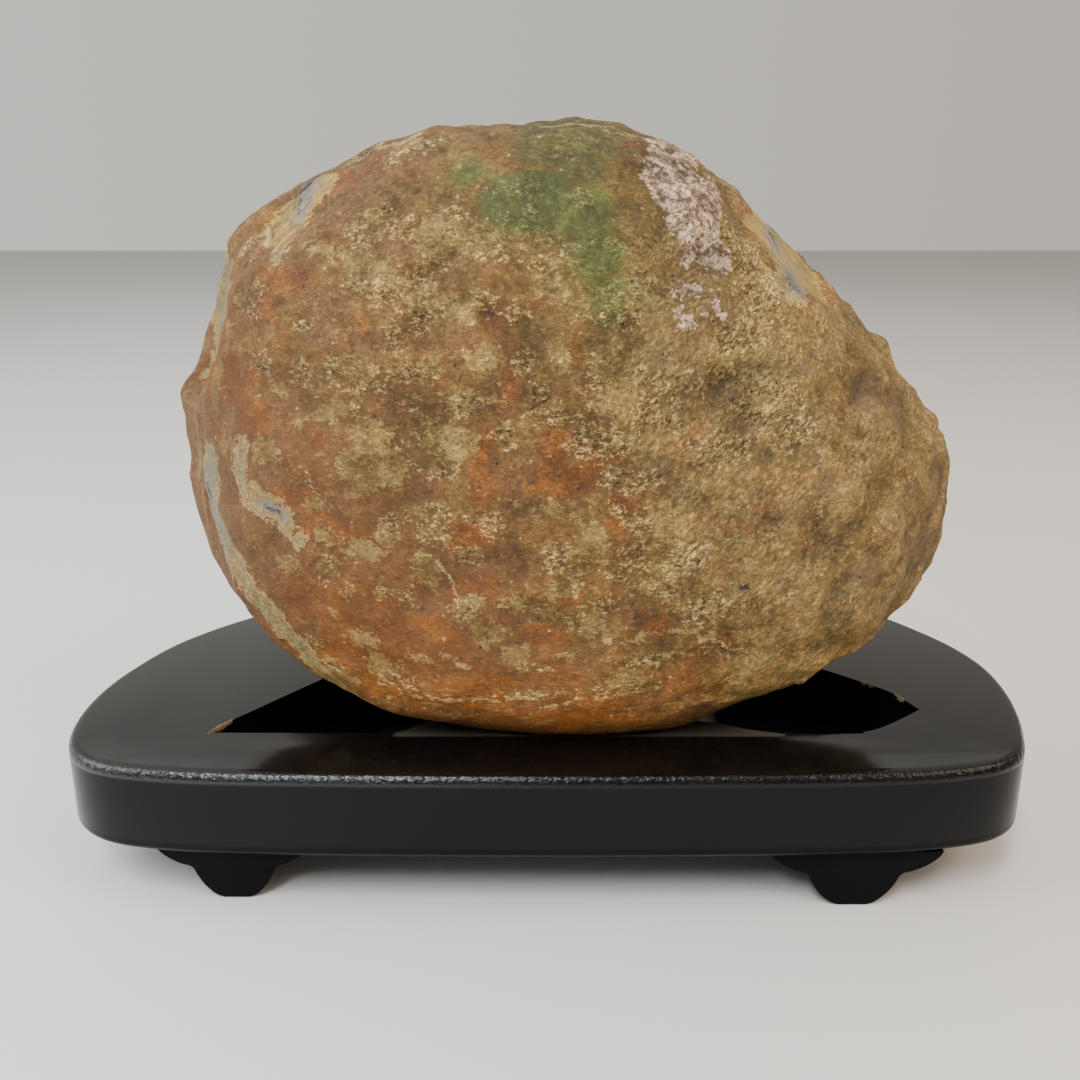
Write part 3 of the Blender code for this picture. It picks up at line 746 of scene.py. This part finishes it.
GRITTY_CREAM = [
    (-39.5, 145.5, 2.3, 3), (-33.5, 150, 3.4, 1.7), (-30.5, 147.5, 2.8, 2.2),
    (-36, 136.5, 4.4, 1.7), (-27.5, 138.5, 2.7, 1.7), (-23, 140, 2.5, 1.3), (-34, 133.5, 3.2, 1.7),
    (-31, 127.5, 1.6, 3), (-30.5, 120, 4.3, 1.7), (-37.5, 117, 4, 1.5), (-51.5, 119, 1.7, 2),
    (-44.5, 120, 1.6, 2.1), (-59.5, 120.5, 2, 2.3), (-29, 114, 1.8, 1.2), (-40, 113, 1.6, 1.2),
    (-50.5, 98, 1.1, 2), (-28.5, 101.5, 1.4, 1), (-22.5, 100.5, 2.2, 1.6), (-6.5, 122.5, 2.7, 2.6),
    (-3.5, 116, 3.1, 1.9), (6, 118, 2.1, 3.5), (-17.5, 114, 4.2, 1.7), (-10.5, 108, 2, 2.4),
    (-1, 112.5, 5, 1.6), (8, 107, 6.2, 4.2), (15.5, 120, 3.1, 2.1), (21, 117.5, 5.5, 4.1),
    (18.5, 111.5, 5.1, 3.5), (12.5, 99, 5.5, 2.7), (19.5, 100, 3.9, 1.8), (-15, 91, 3.2, 1.7),
    (-13.5, 89, 2.4, 1.3), (-24.5, 89.5, 2.9, 1.7), (-26, 85.5, 2.8, 1.2), (-32.5, 90.5, 2.4, 1.2),
    (-0.5, 83, 3.2, 2.8), (3.5, 79, 2, 2.2), (-18, 83.5, 2.9, 2), (15, 83.5, 3.7, 3.5),
    (11, 79, 1.8, 1.3), (10, 72.5, 2.1, 1.9), (22, 77, 3.3, 2.3), (12, 93, 1.8, 1.6),
    (-36.5, 75, 2.3, 1.9), (-32, 75, 1.7, 1.6), (-43, 74.5, 1.7, 1.6), (-48.5, 77, 1.8, 0.9),
    (-53.5, 61, 1.9, 2.4), (-50, 54, 2, 2.3), (-35, 51.5, 4.1, 2), (-7, 58, 1.7, 1.1),
    (-2.5, 57.5, 1.7, 1.1), (19.5, 59.5, 3.7, 1.6), (-6, 50, 6.1, 1.2), (14, 51, 6.1, 1.7),
    (7.5, 134.5, 1.9, 1.6), (12, 131.5, 4.6, 3.1), (16.5, 135.5, 3.5, 2.2), (7, 129.5, 2.7, 1.1),
    (-10.5, 142, 2.5, 0.9), (-3.5, 139.5, 1.5, 1.3), (-8, 131.5, 1.9, 0.9), (-7, 154, 4.2, 1.7),
    (-5.5, 149, 1.3, 2.2), (-9.5, 148.5, 1.5, 0.9), (4.5, 152, 1.9, 1.3), (10, 145, 2.5, 1.5),
    (0, 143.5, 2.3, 1.4), (31.5, 118.5, 8.3, 2.6), (39.5, 114.5, 8.3, 6.5), (32, 105, 6.9, 3.7),
    (35.5, 126, 5.9, 3.8), (39.5, 133.5, 5, 4.9), (46, 108.5, 4.9, 3.9), (26.5, 82.5, 4.1, 3.1),
    (29.5, 71, 4.6, 3.6), (37.5, 73.5, 5.5, 2.7), (35.5, 60.5, 4.3, 2.2), (16, 91, 2.8, 2),
    (4.5, 69.5, 2.1, 1.4), (-19, 71.5, 2.1, 2), (-47, 80, 1.8, 1.4), (34, 146.5, 3.8, 3.8),
    (34.5, 141, 4.4, 3.7), (-60.5, 133, 1.9, 3.8), (-65, 142, 1.8, 1.9), (-51, 129.5, 2.1, 1.1),
    (-27, 163, 3.5, 1.8), (-34.5, 160, 2.3, 1), (-15, 134, 2.7, 1.6), (-19, 149.5, 2.7, 1.5),
    (-27, 130, 2, 2.2), (-48, 95.5, 1.7, 1.3), (-34, 89, 2, 1.5), (-23.5, 94, 2.4, 1.7),
]
GREEN_CRUMBS = [
    (-7, 154, 4.2, 1.9), (-5.5, 149.5, 1.5, 2.5), (-10, 148, 2.3, 1.1), (4.5, 152, 2.5, 1.5),
    (10, 145, 3.1, 1.8), (0, 143.5, 2.7, 1.6), (7.5, 139.5, 2.7, 2.2), (16.5, 135.5, 4.3, 2.5),
    (-59.5, 120.5, 1.8, 2), (-1, 151, 1.9, 1.5), (-9.5, 152, 2.3, 0.9), (39.5, 119.5, 4.1, 2.7),
    (-52.5, 93, 2.2, 1.7),
]
GREEN_STAIN = [(3, 151, 26, 19), (-18, 158, 10, 8), (6, 134, 13, 12)]
GREEN_CORE = [(-5, 152, 10, 6.5), (5, 149, 7, 5), (7, 143, 5, 6), (-18, 157, 3.5, 3), (9, 134, 4, 6)]
GREEN_TOP = [(2, 162.5, 13, 4), (3, 166, 12, 4), (5, 158, 5, 4)]
LAVENDER_CRUST = [
    (22.5, 162, 4.6, 3), (23, 158, 6, 5), (25, 153, 6, 5.5), (26.5, 147.5, 5, 4.6), (31, 152.5, 2.2, 4),
    (29, 143, 3.4, 2.6), (31.5, 140.5, 1.8, 3.4), (24.6, 142.2, 1.7, 1.6), (25.4, 135.6, 2.8, 1.2),
    (29.8, 131.8, 2.2, 1.2), (23.0, 131, 1.4, 1.2), (24.6, 129.2, 1.2, 1.1),
]

# Dimples of the tan end, dull grey-tan and laid darker as painted shade in them; same columns.
TAN_HOLLOWS = [
    (31.8, 116.3, 2.8, 2.8), (53.9, 97.0, 2.5, 3.0), (64.3, 115.5, 3.8, 4.0), (72, 110, 3.0, 3.0),
    (36.2, 109.5, 2.0, 2.0), (47, 119, 2.6, 1.6), (83, 95, 3, 4), (66, 78, 4, 2.6),
]
PALE_PATCHES = [
    (-63.8, 93.8, 2.6, 2.3), (-60.2, 92.2, 3.0, 2.2), (-57.5, 90.2, 2.2, 1.9),
    (-55.4, 87.8, 1.4, 1.6), (-53.4, 85.4, 1.0, 1.0), (-56.6, 142, 1.5, 1.3), (48.4, 136, 3.4, 3.6),
    (46.4, 140.5, 1.8, 2.4), (43, 136.5, 1.8, 1.6),
]

# Lines on the front: their points, and half their width.
PALE_SEAMS = [
    ([(-76, 140), (-77, 130), (-75.5, 122)], 3.2), ([(-65, 104), (-66.2, 98), (-65.5, 93)], 1.1),
    ([(-74.5, 100), (-75.5, 94), (-76, 87), (-73.5, 81.5), (-70, 76), (-66, 69.5), (-60.5, 63.5),
      (-55.5, 57), (-51, 45)], 2.1),
]
BLUE_SEAMS = [
    ([(-61, 92.3), (-57, 91), (-56, 89.5)], 1.3), ([(-76.8, 95), (-76.2, 89), (-74.4, 84)], 1.2),
    ([(-53.4, 155), (-53.6, 150)], 2.4), ([(-77, 127), (-75.5, 122)], 1.8),
    ([(45.6, 146.5), (46.8, 142.5)], 1.3), ([(48, 138), (49.5, 134)], 1.6),
]
CREAM_STREAKS = [
    ([(-45.8, 159.9), (-37.4, 162.7), (-27.9, 164.3)], 0.9),
    ([(-3.5, 166.9), (8.7, 166.9), (17.6, 164.5)], 0.6),
    ([(-82, 122), (-77, 120), (-72, 120.5)], 0.7), ([(40.5, 134.5), (49, 133)], 0.7),
    ([(-24, 61), (-21.5, 59.5), (-19.5, 58)], 0.8), ([(-34.5, 48), (-12.5, 48), (-2.5, 50.5)], 0.8),
    ([(-2.5, 46), (2, 47.5), (7, 49.5), (18, 50)], 0.9),
    ([(8.5, 65), (15, 64), (20, 66), (29.5, 66)], 0.8),
    ([(17.5, 58.5), (22.5, 60.5), (30, 60)], 0.8), ([(48.5, 74.5), (45.5, 71.5), (44, 70)], 0.9),
    ([(30, 64), (38, 60.5)], 0.8),
]
RUST_RIDGES = [
    ([(32.3, 156.2), (36.0, 152.2), (38.6, 148.3)], 1.1),
    ([(-80, 118), (-78, 112), (-77, 105)], 1.0), ([(39.4, 151), (39.6, 145.5), (40.4, 140)], 1.2),
    ([(7, 102), (14, 105.5), (19.5, 106), (25.5, 107.5)], 0.9),
    ([(24.5, 88), (28.5, 90.5), (31.5, 92.5)], 0.8), ([(48, 98), (44.5, 96), (41, 93.5)], 1.0),
]

# Cracks and scratches on the front: X and Z of each end, width, colour.
CRACKS = [
    (-53.5, 156.0, -55.9, 153.8, 0.9, VEIN), (-55.9, 153.8, -54.2, 149.4, 0.8, VEIN),
    (-76.9, 93.0, -75.9, 87.0, 1.0, VEIN), (-60.0, 91.9, -57.2, 90.9, 0.9, VEIN),
    (46.0, 145.7, 47.3, 142.2, 0.8, VEIN), (-24.8, 82.3, -22.4, 78.7, 0.7, CREAM),
    (-22.4, 78.7, -20.3, 73.6, 0.6, CREAM), (-28.8, 83.7, -25.9, 83.3, 0.5, CREAM),
    (-6.0, 113.3, -2.2, 115.4, 0.6, UMBER), (-14.2, 131.9, -12.8, 131.1, 0.9, UMBER),
    (37.6, 76.1, 39.0, 76.1, 1.6, VEIN), (33.3, 72.2, 33.8, 72.2, 1.1, VEIN),
    (1.8, 161.6, 3.0, 161.4, 1.6, OLIVE), (-62.2, 145.8, -61.2, 143.6, 2.2, CREAM),
    (-62.4, 147.4, -59.6, 144.6, 1.1, ORANGE_RUST),
]


def fade(value, low, high):
    """Smooth step from 0 at low to 1 at high."""
    t = np.clip((value - low) / (high - low), 0.0, 1.0)
    return t * t * (3.0 - 2.0 * t)


def wander(places, size, amount):
    """Places pushed about by noise, for irregular outlines."""
    return places + amount * np.array([noise.noise_vector(Vector(p) / size) for p in places])


def in_patches(places, patches):
    """How deep each place is in any patch, in millimetres; below 0 outside them."""
    depth = np.full(len(places), -9.0)
    for x, z, half_width, half_height in patches:
        away = np.hypot((places[:, 0] - x) / half_width, (places[:, 2] - z) / half_height)
        depth = np.maximum(depth, (1.0 - away) * min(half_width, half_height))
    return depth


def in_lines(places, lines):
    """How deep each place is in any line, in millimetres; below 0 outside them."""
    depth = np.full(len(places), -9.0)
    flat = places[:, (0, 2)]
    for points, half_width in lines:
        for start, end in zip(np.array(points[:-1]), np.array(points[1:])):
            run = end - start
            share = np.clip((flat - start) @ run / (run @ run), 0.0, 1.0)
            away = np.linalg.norm(flat - start - share[:, None] * run, axis=1)
            depth = np.maximum(depth, half_width - away)
    return depth


def strewn(places, size, share, seed):
    """Depth in patches of noise that cover about a share of the surface."""
    push = Vector((seed * 3.7, seed * 1.9, seed * 5.3))
    values = np.array([noise.fractal(Vector(p) / size + push, 0.9, 2.1, 3) for p in places])
    return (values - np.quantile(values, 1.0 - share)) * size * 1.3


def field(depth):
    """A depth in millimetres as a painted value: 0.5 on the edge, 0 or 1 two millimetres away."""
    return np.clip(0.5 + depth / 4.0, 0.0, 1.0)


def relief_height(place):
    """Height of the relief, in millimetres, over the solid's own surface."""
    rough = float(fade(place.x + 0.1 * place.z, 12.0, 60.0))
    rim = float(fade(place.x, 52.0, 82.0) * fade(place.z, 66.0, 104.0))
    swell = noise.noise(place / 12.0) * 1.0
    lumps = noise.noise(place / 5.6 + Vector((7.0, 2.0, 1.0))) * (0.65 + 0.2 * rough + 0.4 * rim)
    grain = noise.noise(place / 2.6 + Vector((1.0, 9.0, 4.0))) * (0.28 + 0.10 * rough)
    nearest = noise.voronoi(place / 7.5)[0][0]
    knuckles = (0.42 - nearest) * (0.7 * rough + 1.3 * rim)
    across = Vector(((place.x + place.z) / 14.0, (place.z - place.x) / 6.0, place.y / 5.0))
    ridges = (0.5 - abs(noise.noise(across)) * 1.8) * 0.35 * rough
    pitted = float(fade(noise.noise(place / 17.0), -0.05, 0.25))
    nearest_pit = noise.voronoi(place / 4.4 + Vector((3.0, 3.0, 3.0)))[0][0]
    pits = (float(fade(nearest_pit, 0.10, 0.34)) - 1.0) * 0.6 * pitted
    marks = sum(rise * math.exp(-((place - Vector((x, y, z))).length / radius) ** 2)
                for x, y, z, radius, rise in KNOBS)
    return swell + lumps + grain + knuckles + ridges + pits + marks


def window_share(point):
    """How much a point belongs to a polished window, and its place on the window's plane."""
    share, flat = 0.0, point
    for looks, distance, middle, radius in WINDOWS:
        over = looks.dot(point) - distance
        away = (point - middle).length + 3.5 * noise.noise(point / 5.0)
        here = (1.0 - float(fade(away, radius - 4.0, radius - 1.0)))
        here *= float(fade(over, -1.2, -0.3))
        if here > share:
            share, flat = here, point - looks * over
    return share, flat


def paint(mesh, name, channels):
    """Keep up to four masks on the mesh's points as one colour."""
    values = np.ones((len(mesh.vertices), 4))
    for i, channel in enumerate(channels):
        values[:, i] = channel
    mesh.color_attributes.new(name, "FLOAT_COLOR", "POINT")
    mesh.color_attributes[name].data.foreach_set("color", values.ravel())


def paint_stone(mesh, places, shares, heights):
    """Paint the stone's zones, patches, stains, crust and seams on its points."""
    loose = wander(places, 16.0, 7.0)
    near = wander(wander(places, 7.0, 1.6), 2.6, 0.8)
    close = wander(places, 2.2, 0.5)
    front = fade(-places[:, 1], 6.0, 16.0)
    tan_end = fade(loose[:, 0] - np.interp(loose[:, 2], *TAN_EDGE), -9.0, 11.0)
    left = 1.0 - tan_end

    def patches(share_behind, seed, listed, lines=()):
        """Listed patches on the front, strewn ones behind."""
        behind = strewn(places, 8.0, share_behind, seed) - 6.0 * front
        ahead = np.maximum(in_patches(near, listed), in_lines(close, lines)) - 9.0 * (1.0 - front)
        return field(np.maximum(behind, ahead))

    rust = patches(0.34, 1, RUST_SKIN, RUST_RIDGES)
    khaki = patches(0.30, 2, KHAKI_PATCHES)
    mauve = patches(0.22, 3, MAUVE_SKIN)
    grit = patches(0.20, 4, GRITTY_CREAM)
    paint(mesh, "ground", (tan_end, khaki, rust * (0.3 + 0.7 * np.maximum(left, front))))
    paint(mesh, "marks", (grit, mauve, field(in_patches(near, GREEN_CRUMBS)) * front,
                          field(in_patches(near, TAN_HOLLOWS)) * front))
    paint(mesh, "stain", (field(in_patches(near, GREEN_STAIN) / 4.0) * front,
                          field(in_patches(near, GREEN_CORE)) * front,
                          field(in_patches(near, GREEN_TOP)) * front))
    seam = field(np.maximum(in_lines(close, PALE_SEAMS), in_patches(close, PALE_PATCHES)))
    beside = fade(-places[:, 1], -6.0, 4.0)
    paint(mesh, "seam", (seam * beside, field(in_lines(close, BLUE_SEAMS)) * beside, shares))
    left_edge = fade(-near[:, 0], 58.0, 70.0)
    underside = fade(-near[:, 2], -66.0, -46.0)
    paint(mesh, "edge", (left_edge, underside, field(in_patches(close, LAVENDER_CRUST)) * front,
                         field(in_lines(close, CREAM_STREAKS)) * front))
    drift = [0.5 + 0.5 * strewn(places, size, 0.5, seed) / size
             for size, seed in ((9.0, 5), (7.0, 6), (6.0, 7))]
    calm = fade(0.7 * (95.0 - near[:, 0] - near[:, 2]), 8.0, 36.0)
    paint(mesh, "drift", drift + [calm])
    # Relief height kept for the painted shade in hollows and the painted light on high points.
    relief_shade = mesh.attributes.new("relief_shade", "FLOAT", "POINT")
    relief_shade.data.foreach_set("value", 0.5 + 0.4 * heights * (1.0 - shares))


def make_stone(finish):
    """A finer copy of the stone's solid, with its knobs, pits, ridges and polished windows."""
    stone = bpy.data.objects.new("weathered_stone", bpy.data.objects["stone"].data.copy())
    bpy.context.scene.collection.objects.link(stone)
    stone.data.materials.clear()
    activate(stone)
    bpy.ops.object.mode_set(mode="EDIT")
    bpy.ops.mesh.select_all(action="SELECT")
    bpy.ops.mesh.remove_doubles(threshold=0.01 * MM)
    bpy.ops.mesh.tris_convert_to_quads(face_threshold=math.pi, shape_threshold=math.pi)
    bpy.ops.object.mode_set(mode="OBJECT")
    subdivision = stone.modifiers.new("fine", "SUBSURF")
    subdivision.levels = 2
    subdivision.render_levels = 2
    apply_modifiers(stone)

    places, shares, heights = [], [], []
    normals = [vertex.normal.copy() for vertex in stone.data.vertices]
    for vertex, normal in zip(stone.data.vertices, normals):
        place = vertex.co / MM
        share, flat = window_share(place - STONE_MIDDLE)
        height = relief_height(place) * float(fade(place.z, *SEAT_CLEAR))
        relieved = place + normal * height
        vertex.co = relieved.lerp(flat + STONE_MIDDLE, share) * MM
        places.append(place)
        shares.append(share)
        heights.append(height)
    paint_stone(stone.data, np.array(places), np.array(shares), np.array(heights))
    stone.data.shade_smooth()
    stone.data.materials.append(finish)
    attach(stone, "root")
    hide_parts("stone")
    return stone


# --- setting ---------------------------------------------------------------------------------------

FLOOR_SIZE = 8000.0
FLOOR_DROP = 0.2               # below the feet, so that the two never share a plane


def make_floor():
    """Wide pale floor, not part of the object."""
    deselect_all()
    bpy.ops.mesh.primitive_plane_add(size=FLOOR_SIZE * MM)
    floor = bpy.context.active_object
    floor.name = "floor"
    floor.location.z = -FLOOR_DROP * MM
    floor.data.materials.append(floor_finish())


# Name, width and height, watts, colour, azimuth and elevation in degrees, distance in metres.
LIGHTS = [
    ("window", (0.27, 0.70), 17.0, (0.92, 0.97, 1.0), -18.0, 50.0, 1.4),
    ("left_wall", (0.9, 0.9), 9.0, (0.95, 0.98, 1.0), -80.0, 34.0, 1.2),
    ("cool_left", (0.4, 0.3), 0.8, (0.76, 0.89, 1.0), -58.0, 20.0, 0.75),
    ("right_fill", (0.9, 0.6), 9.5, (1.0, 0.84, 0.66), 62.0, 40.0, 1.2),
    ("front_fill", (1.6, 1.2), 2.2, (1.0, 0.92, 0.84), 10.0, 35.0, 1.3),
    ("back_ceiling", (2.4, 2.4), 9.0, (1.0, 0.98, 0.95), 180.0, 68.0, 1.6),
]
LIGHT_AIM = Vector((0.0, 0.0, 80.0))
ROOM_LEFT = (0.74, 0.720, 0.68, 1.0)
ROOM_RIGHT = (0.50, 0.455, 0.39, 1.0)
FRONT_STRENGTH, BACK_STRENGTH = 0.14, 1.1


def make_light(name, size, power, color, azimuth, elevation, distance):
    """Soft panel aimed at the stone, placed by its direction from the object."""
    data = bpy.data.lights.new(name, "AREA")
    data.shape = "RECTANGLE"
    data.size, data.size_y = size
    data.energy = power
    data.color = color
    light = bpy.data.objects.new(name, data)
    a, e = math.radians(azimuth), math.radians(elevation)
    back = Vector((math.sin(a) * math.cos(e), -math.cos(a) * math.cos(e), math.sin(e)))
    light.location = LIGHT_AIM * MM + back * distance
    light.rotation_mode = "QUATERNION"
    light.rotation_quaternion = (-back).to_track_quat("-Z", "Y")
    bpy.context.scene.collection.objects.link(light)


def make_world():
    """Pale room: brighter behind the object than in front, paler on the left."""
    world = bpy.data.worlds.new("studio")
    bpy.context.scene.world = world
    world.use_nodes = True
    tree = world.node_tree
    towards = tree.nodes.new("ShaderNodeSeparateXYZ")
    tree.links.new(tree.nodes.new("ShaderNodeTexCoord").outputs["Generated"], towards.inputs[0])
    sides = tree.nodes.new("ShaderNodeMapRange")
    sides.inputs["From Min"].default_value = -0.7
    sides.inputs["From Max"].default_value = 0.7
    tree.links.new(towards.outputs["X"], sides.inputs["Value"])
    tint = tree.nodes.new("ShaderNodeMix")
    tint.data_type = "RGBA"
    tint.inputs[6].default_value = ROOM_LEFT
    tint.inputs[7].default_value = ROOM_RIGHT
    tree.links.new(sides.outputs["Result"], tint.inputs["Factor"])
    depth = tree.nodes.new("ShaderNodeMapRange")
    depth.interpolation_type = "SMOOTHSTEP"
    depth.inputs["From Min"].default_value = -0.9
    depth.inputs["From Max"].default_value = 0.5
    depth.inputs["To Min"].default_value = FRONT_STRENGTH
    depth.inputs["To Max"].default_value = BACK_STRENGTH
    tree.links.new(towards.outputs["Y"], depth.inputs["Value"])
    background = tree.nodes["Background"]
    tree.links.new(tint.outputs[2], background.inputs["Color"])
    tree.links.new(depth.outputs["Result"], background.inputs["Strength"])


make_camera()
make_floor()
make_world()
for light in LIGHTS:
    make_light(*light)
make_stone(stone_finish())
lacquer = lacquer_finish()
make_stand_top(lacquer)
for foot_node in FEET:
    make_foot(foot_node, lacquer)
